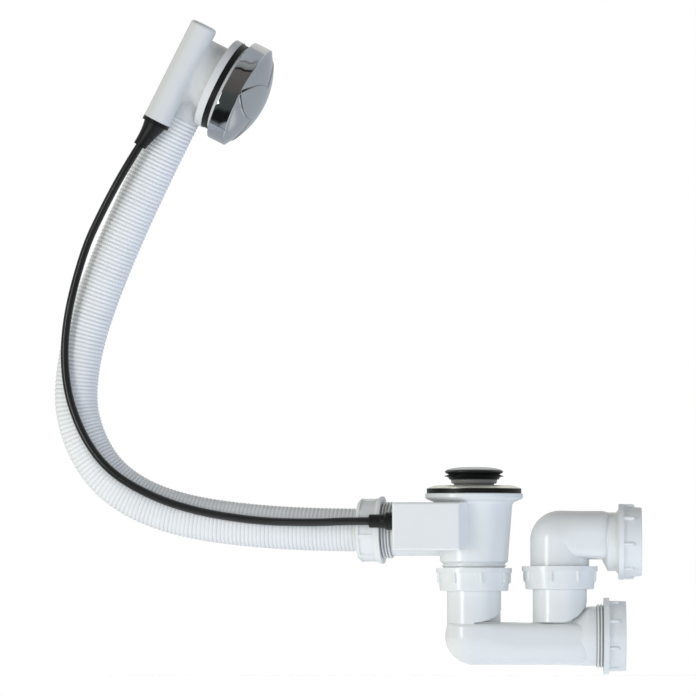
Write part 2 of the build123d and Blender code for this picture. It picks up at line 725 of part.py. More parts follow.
def overflow_screws():
    screws = []
    for side in (-1, 1):
        shape = rod(HEAD_SCREW_HEAD_R, plate_front, plate_front + HEAD_SCREW_HEAD_H)
        shape += rod(HEAD_SCREW_R, plate_front - HEAD_SCREW_LENGTH, plate_front)
        screws.append(head * Pos(0, side * HEAD_SCREW_OFFSET, 0) * shape)
    return Compound(children=screws)


def knob_form(radius, back, edge, top):
    """Band and dome of the knob as one solid form."""
    band_end = KNOB_BACK + KNOB_BAND
    return domed([(0, back), (radius - edge, back), (radius, back + edge), (radius, band_end)], top)


def knob():
    top = KNOB_BACK + KNOB_BAND + KNOB_DOME
    shape = knob_form(KNOB_R, KNOB_BACK, KNOB_EDGE_R, top)
    shape -= knob_form(KNOB_R - KNOB_SKIN, KNOB_BACK - 1.0, KNOB_SKIN, top - KNOB_SKIN)
    shape += rod(KNOB_BOSS_R, KNOB_BACK, top - KNOB_SKIN + 0.5)
    shape -= rod(SPINDLE_R + RUNNING, KNOB_BACK - 1.0, KNOB_BACK + SPINDLE_INSERT)
    return head * shape


def knob_crank():
    """Spindle with arm and peg, drawn with the arm towards the front and then turned to the open place."""
    arm_front = KNOB_ARM_T - KNOB_ARM_BACK
    shape = rod(SPINDLE_R, -KNOB_ARM_BACK, KNOB_BACK + SPINDLE_INSERT)
    shape += rod(SPINDLE_R + 2.0, -KNOB_ARM_BACK, arm_front)
    shape += Pos(0, 0, -KNOB_ARM_BACK) * Box(
        2 * KNOB_PEG_R + 1.6, KNOB_ARM, KNOB_ARM_T, align=(Align.CENTER, Align.MIN, Align.MIN))
    shape += Pos(0, KNOB_ARM, 0) * rod(KNOB_PEG_R + 0.8, -KNOB_ARM_BACK, arm_front)
    shape += Pos(0, KNOB_ARM, 0) * rod(KNOB_PEG_R, -KNOB_ARM_BACK - KNOB_PEG_REACH, -KNOB_ARM_BACK)
    return head * Rot(0, 0, -knob_swing) * shape


def cable_slide_upper():
    """Slide with a cross slot for the crank's peg, at the pulled (upper) end of its travel."""
    middle = cable_travel / 2
    half = UPPER_SLIDE_L / 2
    slide = tube_axis * rod(TUBE_BORE_R - LOOSE, middle - half, middle + half)
    slot_w = 2 * (KNOB_PEG_R + LOOSE)
    slot_end = KNOB_ARM + KNOB_PEG_R + LOOSE
    slot_floor = -KNOB_ARM_BACK - KNOB_PEG_REACH - LOOSE
    slide -= Pos(middle, slot_end, slot_floor) * Box(
        slot_w, TUBE_SIDE, TUBE_BACK, align=(Align.CENTER, Align.MAX, Align.MIN))
    wire = tube_axis * rod(WIRE_R, WIRE_INSET - TUBE_BELOW, middle - half + 0.5)
    return head * (slide + wire)


def upper_boot():
    """Boot with a flange under the tube, a plug up into it and a cone that leans with the cable."""
    foot = -TUBE_BELOW
    shape = tube_axis * rod(UPPER_BOOT_FLANGE_R, foot - UPPER_BOOT_FLANGE_T, foot)
    shape += tube_axis * rod(TUBE_BORE_R - LOOSE, foot, foot + UPPER_BOOT_PLUG)
    shape = head * shape
    lean = radians(UPPER_BOOT_LEAN)
    tip = Plane(origin=UPPER_BOOT_TIP, z_dir=(-sin(lean), 0, -cos(lean)))
    neck = head * tube_axis * Pos(0, 0, foot - UPPER_BOOT_FLANGE_T)
    middle = (neck.position + tip.origin) / 2
    waist = Plane(origin=middle, z_dir=tip.origin - neck.position)
    shape += loft([
        neck * Circle(UPPER_BOOT_NECK_R),
        waist * Circle(UPPER_BOOT_WAIST_R),
        tip * Circle(UPPER_BOOT_TIP_R),
    ])
    bore = rod(WIRE_BORE_R, foot - UPPER_BOOT_FLANGE_T - UPPER_BOOT_BORE, foot + UPPER_BOOT_PLUG)
    return shape - head * tube_axis * bore


def cord_path(points):
    """Straight runs joined by arcs as large as the runs allow; prints the radii."""
    stops = [Vector(p) for p in points]
    radii = []
    for before, here, after in zip(stops, stops[1:], stops[2:]):
        shorter = min((here - before).length, (after - here).length)
        turn = radians((here - before).get_angle(after - here))
        radii.append(0.45 * shorter / tan(turn / 2))
    print("bend radii:", [round(r) for r in radii])
    return FilletPolyline(*stops, radius=radii)


def cord(path, outer, inner=0.0):
    section = Plane(origin=path @ 0, z_dir=path % 0) * Circle(outer)
    if inner:
        section -= Plane(origin=path @ 0, z_dir=path % 0) * Circle(inner)
    solid = sweep(section, path)
    print("length:", round(path.length, 1), "volume over section:", round(solid.volume / section.area, 1))
    return solid


def hose():
    mouth = head * collar_axis
    ends = [tuple((mouth * Pos(0, 0, z)).position) for z in (COLLAR_END + HOSE_LAST_RUN, COLLAR_END)]
    return cord(cord_path(HOSE_ROUTE + ends), HOSE_R, HOSE_BORE_R)


def cable():
    lean = radians(UPPER_BOOT_LEAN)
    start = Vector(UPPER_BOOT_TIP)
    first = start + Vector(-sin(lean), 0, -cos(lean)) * CABLE_FIRST_RUN
    end = Vector(BOX_LEFT - LOWER_BOOT_LENGTH, CABLE_Y, CABLE_Z)
    last = end - Vector(CABLE_LAST_RUN, 0, 0)
    return cord(cord_path([start, first] + CABLE_ROUTE + [last, end]), CABLE_R)


def lugs(radius, count, phase):
    """Grip lugs behind a nut's flange, each a half-sunk bar with a round end."""
    end = NUT_FLANGE_T + LUG_L - LUG_R
    lug = rod(LUG_R, NUT_FLANGE_T - LUG_ROOT, end) + Pos(0, 0, end) * Sphere(LUG_R)
    return [Rot(0, 0, phase + i * 360 / count) * Pos(radius, 0, 0) * lug for i in range(count)]


def union_nut(phase, hole_r):
    """Nut with its open end at zero, flange, tapering body and inner shoulder."""
    shoulder = NUT_H - NUT_SHOULDER_T
    nut = turned([
        (nut_bore_r, 0),
        (nut_flange_r, 0),
        (nut_flange_r, NUT_FLANGE_T),
        (nut_r, NUT_FLANGE_T),
        (nut_end_r, NUT_H - 0.5),
        (nut_end_r - 0.5, NUT_H),
        (hole_r, NUT_H),
        (hole_r, shoulder),
        (nut_bore_r, shoulder),
    ])
    for lug in lugs(nut_r, NUT_LUGS, phase):
        nut += lug
    return nut


def downward(z):
    return Plane(origin=(0, 0, z), z_dir=(0, 0, -1), x_dir=(1, 0, 0))


left_shoulder = LEFT_NUT_Z - NUT_H + NUT_SHOULDER_T
riser_shoulder = RISER_NUT_Z - NUT_H + NUT_SHOULDER_T
left_collar_top = left_shoulder + SEAT_GAP + LEG_COLLAR_T
riser_collar_top = riser_shoulder + SEAT_GAP + LEG_COLLAR_T


def trap_inlet_nut():
    return downward(LEFT_NUT_Z) * union_nut(70.0, LEG_R + LOOSE)


def riser_nut():
    return swung * (Pos(TRAP_REACH, 0, 0) * downward(RISER_NUT_Z) * union_nut(60.0, LEG_R + LOOSE))


def trap_inlet_washer():
    return ring(leg_collar_r, LEG_R - LEG_WALL, left_collar_top + SEAT_GAP, -OUTLET_THREAD_END)


def riser_washer():
    washer = ring(leg_collar_r, LEG_R - LEG_WALL, riser_collar_top + SEAT_GAP, riser_thread_end)
    return swung * Pos(TRAP_REACH, 0, 0) * washer


def leg_foot_cut(radius, dome_start, foot, floor):
    """Prism that rounds a leg's inner lower corner to a quarter ellipse."""
    reach = radius + 1.5
    with BuildSketch(Plane.XZ) as section:
        with BuildLine():
            EllipticalCenterArc((0, dome_start), reach, dome_start - foot, start_angle=270, arc_size=90)
            far = 2 * reach
            Polyline((reach, dome_start), (far, dome_start), (far, floor), (0, floor), (0, foot))
        make_face()
    return extrude(section.sketch, 2 * LEG_R, both=True)


def heeled_leg(radius, straight_end, heel_z):
    """Upright tube from its open end to a half ball round the heel height."""
    crown = heel_z + (radius if straight_end < heel_z else -radius)
    return domed([(0, straight_end), (radius, straight_end), (radius, heel_z)], crown)


def side_run(start_x, start_z, start_r, end_x, end_z, end_r):
    """Round tube that leaves a ball corner sideways and eases to a smaller, shifted round."""
    sections = []
    for step in (0.0, 0.25, 0.6, 1.0):
        ease = step * step * (3 - 2 * step)
        place = (start_x + step * (end_x - start_x), 0, start_z + ease * (end_z - start_z))
        sections.append(Plane(origin=place, z_dir=(1, 0, 0), x_dir=(0, 1, 0))
                        * Circle(start_r + ease * (end_r - start_r)))
    return loft(sections)


def left_corner(shrink, top):
    """Inlet leg, rounded heel and run into the cross tube; shrink gives the bore."""
    leg_r = LEG_R - shrink
    run_top = CROSS_Z + CROSS_R - shrink + 0.3
    shape = heeled_leg(leg_r, top, LEG_BEND_Z)
    shape -= leg_foot_cut(leg_r, LEFT_DOME_START, LEG_FOOT_Z + shrink, LEG_BEND_Z)
    run = side_run(-1.0, LEG_BEND_Z, leg_r - 0.1, CROSS_BLEND, CROSS_Z, CROSS_R - shrink)
    run -= Pos(0, 0, run_top) * Box(4 * LEG_R, 4 * LEG_R, 2 * LEG_R, align=BASE)
    return shape + run


def riser_leg(shrink, top):
    """Outlet leg above the cross tube, with the same rounded corner on its outer side."""
    leg_r = LEG_R - shrink
    shape = rod(leg_r, LEG_FOOT_Z + shrink, top)
    shape -= leg_foot_cut(leg_r, RISER_DOME_START, LEG_FOOT_Z + shrink, LEG_FOOT_Z - LEG_R)
    shape += rod(NECK_R - shrink, CROSS_Z, LEG_FOOT_Z + shrink + 2.0)
    return Pos(TRAP_REACH, 0, 0) * shape


def flare(shrink):
    start = Plane(origin=(CLEANOUT_FLARE_START, 0, CROSS_Z), z_dir=(1, 0, 0)) * Circle(CROSS_R - shrink)
    end = Plane(origin=(CLEANOUT_FLARE_END, 0, CLEANOUT_Z), z_dir=(1, 0, 0)) * Circle(CLEANOUT_R - shrink)
    return loft([start, end])


def trap_form(shrink):
    """Both legs, cross tube and clean-out neck as one form; shrink gives the bore."""
    cross = Plane(origin=(0, 0, CROSS_Z), z_dir=(1, 0, 0), x_dir=(0, 1, 0))
    form = left_corner(shrink, left_collar_top)
    form += cross * rod(CROSS_R - shrink, CROSS_BLEND, CLEANOUT_FLARE_START)
    form += flare(shrink)
    form += cleanout_axis * rod(CLEANOUT_R - shrink, CLEANOUT_FLARE_END, CLEANOUT_THREAD_START)
    return form + riser_leg(shrink, riser_collar_top)


def trap_body():
    neck_end = CLEANOUT_THREAD_START + CLEANOUT_THREAD_L
    solid = trap_form(0)
    solid += rod(leg_collar_r, left_collar_top - LEG_COLLAR_T, left_collar_top)
    solid += Pos(TRAP_REACH, 0, 0) * rod(leg_collar_r, riser_collar_top - LEG_COLLAR_T, riser_collar_top)
    for foot_x, dome in ((0, LEFT_DOME_START), (TRAP_REACH, RISER_DOME_START)):
        solid += Pos(foot_x, 0, CROSS_Z + CROSS_R - 1.0) * Box(
            LEG_R - 0.4, WEB_T, dome - CROSS_Z - CROSS_R, align=(Align.MIN, Align.CENTER, Align.MIN))
    solid += Pos(-LEG_R, 0, LEG_BEND_Z) * Sphere(NUB_R)
    solid -= trap_form(LEG_WALL)
    solid += cleanout_axis * threaded_sleeve(
        CLEANOUT_THREAD_R, CLEANOUT_R - LEG_WALL, CLEANOUT_THREAD_START, neck_end)
    return swung * solid


def cleanout_washer():
    start = CLEANOUT_THREAD_START + CLEANOUT_THREAD_L + SEAT_GAP
    washer = ring(CLEANOUT_THREAD_R - LOOSE, CLEANOUT_R - LEG_WALL, start, CAP_START + CAP_H - CAP_END_T)
    return swung * (cleanout_axis * washer)


def cleanout_cap():
    cap = turned([
        (cap_bore_r, 0),
        (cap_flange_r, 0),
        (cap_flange_r, CAP_FLANGE_T),
        (cap_r, CAP_FLANGE_T),
        (cap_end_r, CAP_H - 0.5),
        (cap_end_r - 0.5, CAP_H),
        (0, CAP_H),
        (0, CAP_H - CAP_END_T),
        (cap_bore_r, CAP_H - CAP_END_T),
    ])
    for lug in lugs(cap_r, NUT_LUGS, 20.0):
        cap += lug
    return swung * (cleanout_axis * Pos(0, 0, CAP_START) * cap)


riser_thread_end = riser_collar_top + SEAT_GAP + WASHER_T


def elbow_form(shrink):
    """Spigot, ball corner and side tube of the elbow as one form; shrink gives the bore."""
    ball_z = ELBOW_Z + ELBOW_R + BALL_CROWN - spigot_r
    shape = Pos(TRAP_REACH, 0, 0) * heeled_leg(spigot_r - shrink, riser_thread_end, ball_z)
    return shape + elbow_axis * rod(ELBOW_R - shrink, TRAP_REACH, SOCKET_FLARE_START)


def socket_form(shrink):
    start = Plane(origin=(SOCKET_FLARE_START, 0, ELBOW_Z), z_dir=(1, 0, 0)) * Circle(ELBOW_R - shrink)
    end = Plane(origin=(SOCKET_START, 0, SOCKET_Z), z_dir=(1, 0, 0)) * Circle(socket_r - shrink)
    return loft([start, end])


def outlet_elbow():
    solid = elbow_form(0) + socket_form(0)
    solid += socket_axis * rod(socket_r, SOCKET_START, SOCKET_THREAD_START)
    bore = elbow_form(WALL) + socket_form(WALL)
    bore += socket_axis * rod(socket_bore_r, SOCKET_START, SOCKET_THREAD_START)
    solid -= bore
    solid += socket_axis * threaded_sleeve(OUTLET_THREAD_R, socket_bore_r, SOCKET_THREAD_START, SOCKET_END)
    solid += Pos(TRAP_REACH, 0, 0) * threaded_sleeve(
        OUTLET_THREAD_R, spigot_r - WALL, ELBOW_THREAD_TOP, riser_thread_end)
    return swung * solid


def outlet_nut():
    nut = union_nut(49.0, socket_bore_r + 2 * LOOSE)
    return swung * (socket_axis * Pos(0, 0, SOCKET_NUT_START) * nut)


def outlet_washer():
    end = SOCKET_NUT_START + NUT_H - NUT_SHOULDER_T
    washer = ring(OUTLET_THREAD_R - LOOSE, socket_bore_r + LOOSE, SOCKET_END + SEAT_GAP, end)
    return swung * (socket_axis * washer)


PIECES = [
    overflow_body, overflow_gasket, overflow_front_plate, overflow_screws, knob, knob_crank,
    cable_slide_upper, upper_boot, cable, hose, inlet_nut, hose_seal,
    waste_body, mechanism_cover, lower_boot, cable_slide_lower, lift_crank, lift_finger, shaft_seal,
    waste_gasket, strainer, strainer_screw, plug_cap, plug_seal, plug_carrier, plug_stem,
    trap_inlet_nut, trap_inlet_washer, trap_body, riser_nut, riser_washer,
    cleanout_cap, cleanout_washer, outlet_elbow, outlet_nut, outlet_washer,
]

os.makedirs("parts", exist_ok=True)
for piece in PIECES:
    export_step(piece(), f"parts/{piece.__name__}.step")
print("plug lift", PLUG_LIFT, "finger swing", round(2 * lift_swing, 3),
      "cable travel", round(cable_travel, 3), "knob swing", round(2 * knob_swing, 3))
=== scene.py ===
import bmesh
import bpy
import json
from math import atan2, copysign, cos, exp, hypot, pi, radians, sin, sqrt
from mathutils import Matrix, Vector


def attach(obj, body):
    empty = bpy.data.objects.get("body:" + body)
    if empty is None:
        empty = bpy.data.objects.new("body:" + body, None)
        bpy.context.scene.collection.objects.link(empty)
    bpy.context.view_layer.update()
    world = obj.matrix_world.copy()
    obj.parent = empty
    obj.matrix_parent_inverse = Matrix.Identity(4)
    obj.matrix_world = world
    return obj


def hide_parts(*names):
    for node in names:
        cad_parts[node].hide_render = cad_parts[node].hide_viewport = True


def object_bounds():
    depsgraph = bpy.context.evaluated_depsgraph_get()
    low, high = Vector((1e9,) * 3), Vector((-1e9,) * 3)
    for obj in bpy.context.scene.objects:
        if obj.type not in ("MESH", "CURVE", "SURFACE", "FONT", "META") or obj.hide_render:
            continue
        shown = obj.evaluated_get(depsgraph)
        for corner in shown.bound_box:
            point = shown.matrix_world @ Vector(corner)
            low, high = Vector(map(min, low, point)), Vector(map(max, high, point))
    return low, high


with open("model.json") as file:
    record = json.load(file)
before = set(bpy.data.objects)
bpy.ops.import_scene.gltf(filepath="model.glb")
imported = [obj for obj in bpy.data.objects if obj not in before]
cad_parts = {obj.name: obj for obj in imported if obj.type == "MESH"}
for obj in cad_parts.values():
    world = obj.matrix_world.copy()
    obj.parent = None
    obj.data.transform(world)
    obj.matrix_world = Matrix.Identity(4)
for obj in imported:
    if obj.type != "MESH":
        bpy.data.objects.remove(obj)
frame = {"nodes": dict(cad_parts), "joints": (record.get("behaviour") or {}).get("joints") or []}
cad_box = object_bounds()
nodes = frame["nodes"]
joints = {joint["name"]: joint for joint in frame["joints"]}


# Waste body: one white moulding with the seat under the bath, a tapered bowl, the branch for the overflow
# hose and the square gear box on its front, closed by a lid. Glossy plastic, cool in tone, with a faint skin
# and soft flow clouds; painted shade darkens the valleys of its threads.
class Shade:
    """One value in a material; sums are plain arithmetic, and every other node comes from add."""

    def __init__(self, tree, socket=None):
        self.tree = tree
        self.socket = socket

    def add(self, kind, settings=None, inputs=None, output=0):
        """A new node, with its settings made before its inputs, as the value of one of its outputs."""
        node = self.tree.nodes.new(kind)
        for key, value in (settings or {}).items():
            if key == "stops":
                ramp = node.color_ramp.elements
                while len(ramp) < len(value):
                    ramp.new(0.5)
                for element, (place, colour) in zip(ramp, value):
                    element.position = place
                    element.color = colour
            else:
                setattr(node, key, value)
        for key, value in (inputs or {}).items():
            if isinstance(value, Shade):
                self.tree.links.new(value.socket, node.inputs[key])
            else:
                node.inputs[key].default_value = value
        return Shade(self.tree, node.outputs[output])

    def worked(self, operation, first, second):
        return self.add("ShaderNodeMath", {"operation": operation}, {0: first, 1: second})

    def math(self, operation, other=0.0):
        return self.worked(operation, self, other)

    def __add__(self, other):
        return self.worked("ADD", self, other)

    def __radd__(self, other):
        return self.worked("ADD", other, self)

    def __sub__(self, other):
        return self.worked("SUBTRACT", self, other)

    def __rsub__(self, other):
        return self.worked("SUBTRACT", other, self)

    def __mul__(self, other):
        return self.worked("MULTIPLY", self, other)

    def __rmul__(self, other):
        return self.worked("MULTIPLY", other, self)

    def __truediv__(self, other):
        return self.worked("DIVIDE", self, other)

    def __rtruediv__(self, other):
        return self.worked("DIVIDE", other, self)

    def between(self, low, high):
        """Smooth step from 0 at low to 1 at high."""
        return self.add("ShaderNodeMapRange", {"interpolation_type": "SMOOTHSTEP"},
                        {"Value": self, "From Min": low, "From Max": high})

    def part(self, axis):
        """X, Y or Z of a vector."""
        return self.add("ShaderNodeSeparateXYZ", None, {0: self}, axis)

    def vector(self, operation, other=(0, 0, 0), output="Vector"):
        return self.add("ShaderNodeVectorMath", {"operation": operation}, {0: self, 1: other}, output)

    def noise(self, scale, detail=2.0):
        return self.add("ShaderNodeTexNoise", None, {"Vector": self, "Scale": scale, "Detail": detail}, "Fac")

    def mix(self, first, second):
        """Colour mixed from first to second by this value."""
        return self.add("ShaderNodeMix", {"data_type": "RGBA"}, {0: self, 6: first, 7: second}, 2)

    def bump(self, distance, strength=1.0):
        return self.add("ShaderNodeBump", None, {"Height": self, "Strength": strength, "Distance": distance})


def finish_named(name, **constants):
    """A new material with constants on its shader; gives the material, the shader and Object coordinates."""
    material = bpy.data.materials.new(name)
    material.use_nodes = True
    shader = material.node_tree.nodes["Principled BSDF"]
    for key, value in constants.items():
        shader.inputs[key.replace("_", " ")].default_value = value
    place = Shade(material.node_tree).add("ShaderNodeTexCoord", output="Object")
    return material, shader, place


def feed(shader, **values):
    for key, value in values.items():
        value.tree.links.new(value.socket, shader.inputs[key.replace("_", " ")])


def dress(material, *names):
    for name in names:
        nodes[name].data.materials.clear()
        nodes[name].data.materials.append(material)


RISER_FOOT = joints["elbow_swivel"]["pos_m"]
TRAP_TURN = atan2(RISER_FOOT[1], RISER_FOOT[0])
THREAD_PITCH = 0.0023
THREAD_FADE = 0.0002
INLET_THREAD = (0.0603, 0.0750)
CLEANOUT_THREAD = (0.0903, 0.1058)
# Colour and share of the painted shade laid in the thread valleys.
PAINTED_THREAD_SHADE = (0.16, 0.165, 0.17, 1)
THREAD_SHADE_SHARE = 0.75


def thread_lines(place):
    """1 in the valleys of the two threads that show, on the hose branch and on the trap's clean-out neck,
    where shade is painted.
    """
    lines = 0.0
    trapward = place.part(0) * cos(TRAP_TURN) + place.part(1) * sin(TRAP_TURN)
    for along, (start, end) in ((place.part(0) * -1.0, INLET_THREAD), (trapward, CLEANOUT_THREAD)):
        phase = (along - start) * (2 * pi / THREAD_PITCH) - pi / 4
        inside = along.between(start - THREAD_FADE, start) * (1 - along.between(end, end + THREAD_FADE))
        lines = lines + phase.math("COSINE").between(0.0, 0.9) * inside
    return lines


CLOUD_SCALE = 16.0
SPECK_SCALE = 620.0
PATCH_SCALE = 90.0
RIPPLE_SCALE = 240.0
SKIN_SCALE = 1100.0


def moulded(name, tones, rough, grain, lines=None, **constants):
    """Moulded plastic or rubber: two close tones in flow clouds, small dull specks and a skin of grain
    height. Where lines is given, it says how much painted shade darkens the surface."""
    material, shader, place = finish_named(name, **constants)
    cloud = place.noise(CLOUD_SCALE, 4.0).between(0.35, 0.65)
    speck = place.noise(SPECK_SCALE, 3.0).between(0.66, 0.8)
    tone = (cloud * 0.9 + speck * 0.35).mix(*tones)
    if lines:
        # Painted shade: the thread valleys are darkened in the colour.
        tone = (lines(place) * THREAD_SHADE_SHARE).mix(tone, PAINTED_THREAD_SHADE)
    feed(shader,
         Base_Color=tone,
         Roughness=place.noise(PATCH_SCALE, 3.0) * 0.1 + speck * 0.12 + (rough - 0.05),
         Normal=(place.noise(SKIN_SCALE, 2.0) + place.noise(RIPPLE_SCALE, 1.0) * 1.4).bump(grain, 0.5))
    return material


WHITE_TONES = (0.79, 0.815, 0.805, 1), (0.765, 0.79, 0.785, 1)
white_plastic = moulded("white_plastic", WHITE_TONES, rough=0.2, grain=0.00004, IOR=1.5)
threaded_plastic = moulded("threaded_plastic", WHITE_TONES, rough=0.2, grain=0.00004, lines=thread_lines,
                           IOR=1.5)
dress(white_plastic, "mechanism_cover")
dress(threaded_plastic, "waste_body")

# Lifting gear in the box: a crank on a short shaft, pushed by the slide at the cable's end, and the finger
# under the plug's stem. Grey acetal mouldings with a rubber ring where the shaft enters the waterway.
GEAR_TONES = (0.30, 0.315, 0.33, 1), (0.25, 0.265, 0.28, 1)
gear_plastic = moulded("gear_plastic", GEAR_TONES, rough=0.36, grain=0.00006, IOR=1.48)
dress(gear_plastic, "lift_crank", "lift_finger", "cable_slide_lower")
SEAL_TONES = (0.030, 0.031, 0.032, 1), (0.020, 0.021, 0.022, 1)
seal_rubber = moulded("seal_rubber", SEAL_TONES, rough=0.62, grain=0.0001, IOR=1.45)
dress(seal_rubber, "shaft_seal")

# Waste gasket: a thick ring of deep black rubber with a soft shine. The strainer's screw pulls the waste up
# under the bath and squeezes the ring between them.
BLACK_TONES = (0.011, 0.012, 0.0115, 1), (0.008, 0.009, 0.0085, 1)
black_rubber = moulded("black_rubber", BLACK_TONES, rough=0.42, grain=0.00008, IOR=1.5,
                       Specular_IOR_Level=0.25)
dress(black_rubber, "waste_gasket")

# Strainer: a dish pressed from stainless sheet and held down by one hollow screw, with a rim that slopes down
# to the bath. It is finished on a lathe, so the steel keeps fine turning lines about the waste's axis, and it
# has faint water marks.
STEEL_TONES = (0.88, 0.87, 0.80, 1), (0.82, 0.805, 0.73, 1)
TURNING_LINES = 5200.0
TURNING_DEPTH = 0.000003
STAIN_SCALE = 70.0
STEEL_PATCH_SCALE = 300.0
steel, steel_shader, place = finish_named("steel", Metallic=1.0)
radius = place.vector("MULTIPLY", (1, 1, 0)).vector("LENGTH", output="Value")
stain = place.noise(STAIN_SCALE, 5.0).between(0.5, 0.75)
feed(steel_shader,
     Base_Color=stain.mix(*STEEL_TONES),
     Roughness=stain * 0.1 + place.noise(STEEL_PATCH_SCALE) * 0.1 + 0.34,
     Normal=(radius * TURNING_LINES).math("SINE").bump(TURNING_DEPTH, 0.5))
dress(steel, "strainer_screw")
RIM_RADIUS = 0.0350
SLOPE_START = 0.0310
SLOPE_TOP = 0.0016
RIM_EDGE = 0.0002
NEAR = 0.0005


def placed(name, mesh, material, sharp=radians(35)):
    """An object at the frame's origin with one material, smooth apart from edges over the sharp angle."""
    mesh.shade_smooth()
    mesh.set_sharp_from_angle(angle=sharp)
    mesh.materials.clear()
    mesh.materials.append(material)
    piece = bpy.data.objects.new(name, mesh)
    bpy.context.scene.collection.objects.link(piece)
    return piece


plate_mesh = nodes["strainer"].data.copy()
for vertex in plate_mesh.vertices:
    outside = hypot(vertex.co.x, vertex.co.y)
    if outside > SLOPE_START - NEAR and vertex.co.z > NEAR:
        slope_share = (outside - SLOPE_START) / (RIM_RADIUS - SLOPE_START)
        vertex.co.z = SLOPE_TOP + (RIM_EDGE - SLOPE_TOP) * slope_share
strainer_plate = placed("strainer_plate", plate_mesh, steel)
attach(strainer_plate, "waste")
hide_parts("strainer")

# Plug: a cap pressed to a shallow dome, over a black seal with two lips, clipped to a grey carrier whose stem
# drops on the lifting finger. The cap's plating is greyer than the knob's, with a slight haze, hairlines from
# wiping and a dull edge that carries a painted dark reflection.
# Colour of the painted shade and painted dark reflection on plated metal.
PAINTED_DARK_TONE = (0.03, 0.03, 0.035, 1)
HAZE_SCALE = 30.0
HAIRLINE_SCALE = 2400.0
WAVE_SCALE = 60.0
WAVE_DEPTH = 0.00006


def plated(name, tones, rough):
    """Plated metal with haze and hairlines, painted dark and dull as far as the mesh's crease attribute
    says: painted shade in the knob's star creases, a painted dark reflection on the cap's edge.
    """
    material, shader, place = finish_named(name, Metallic=1.0)
    crease = place.add("ShaderNodeAttribute", {"attribute_name": "crease"}, output="Fac")
    wiped = place.add("ShaderNodeMapping", None, {
        "Vector": place, "Scale": (1.0, 0.12, 0.35), "Rotation": (0.4, 0.2, 0.7)})
    haze = place.noise(HAZE_SCALE, 4.0).between(0.4, 0.75)
    hairline = wiped.noise(HAIRLINE_SCALE, 2.0).between(0.68, 0.8)
    # Painted shade and painted dark reflection, wherever crease is set.
    feed(shader,
         Base_Color=crease.mix(haze.mix(*tones), PAINTED_DARK_TONE),
         Roughness=haze * 0.05 + hairline * 0.10 + crease * 0.25 + rough,
         Normal=(place.noise(WAVE_SCALE, 1.0) + hairline * -0.02).bump(WAVE_DEPTH, 0.4))
    return material


LATHE_STEPS = 160
MERGE_DISTANCE = 1e-7


def rows_joined(rows, steps):
    """Faces between neighbouring rings of points."""
    return [(row * steps + step, row * steps + (step + 1) % steps,
             (row + 1) * steps + (step + 1) % steps, (row + 1) * steps + step)
            for row in range(rows - 1) for step in range(steps)]


def outward_faces(name, points, faces, darkness_painted=None):
    """Mesh with its faces turned outwards; darkness_painted gives how darkly each point is painted, kept as
    an attribute.
    """
    mesh = bpy.data.meshes.new(name)
    mesh.from_pydata(points, [], faces)
    if darkness_painted:
        mesh.attributes.new("crease", "FLOAT", "POINT").data.foreach_set("value", darkness_painted)
    form = bmesh.new()
    form.from_mesh(mesh)
    bmesh.ops.remove_doubles(form, verts=form.verts, dist=MERGE_DISTANCE)
    bmesh.ops.recalc_face_normals(form, faces=form.faces)
    form.to_mesh(mesh)
    form.free()
    return mesh


def turned(name, outline, darkness_painted=()):
    """Mesh turned about the waste's axis from an outline of radius and height, which starts and ends on the
    axis or comes back to its start; darkness_painted gives how darkly each point of the
    outline is painted."""
    turns = [2 * pi * step / LATHE_STEPS for step in range(LATHE_STEPS)]
    points = [(r * cos(turn), r * sin(turn), z) for r, z in outline for turn in turns]
    spread = [value for value in darkness_painted for turn in turns]
    return outward_faces(name, points, rows_joined(len(outline), LATHE_STEPS), spread)


def arc(middle, across, rise, start, end, steps=8):
    """Round stretch of an outline between two angles in degrees, with its half width and half height."""
    turns = [radians(start + (end - start) * step / steps) for step in range(steps + 1)]
    return [(middle[0] + across * cos(turn), middle[1] + rise * sin(turn)) for turn in turns]


CAP_UNDER = 0.0120
CAP_TOP = 0.01602
CAP_RADIUS = 0.02162
CAP_ROLL = 0.00055
CAP_STEPS = 24
EDGE_TOP = 0.01405
EDGE_FADE = 0.0003
EDGE_DARK_AND_DULL = 0.9
CAP_TONES = (0.46, 0.46, 0.465, 1), (0.40, 0.405, 0.415, 1)
dark_chrome = plated("dark_chrome", CAP_TONES, rough=0.12)
cap_edge = CAP_UNDER + CAP_ROLL
cap_outline = [(0.0, CAP_UNDER)]
cap_outline += arc((CAP_RADIUS - CAP_ROLL, cap_edge), CAP_ROLL, CAP_ROLL, -90, 0)
for step in range(1, CAP_STEPS + 1):
    share = cos(pi / 2 * step / CAP_STEPS)
    cap_outline.append((CAP_RADIUS * share, cap_edge + (CAP_TOP - cap_edge) * (1 - share ** 3) ** 0.6))
# Painted dark reflection on the cap's edge below EDGE_TOP, which is also made duller.
cap_painted_reflection = [min(max((EDGE_TOP - z) / EDGE_FADE, 0.0), EDGE_DARK_AND_DULL) for r, z in cap_outline]
cap_dome = placed("cap_dome", turned("cap_dome", cap_outline, cap_painted_reflection), dark_chrome)
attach(cap_dome, "plug")
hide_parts("plug_cap")

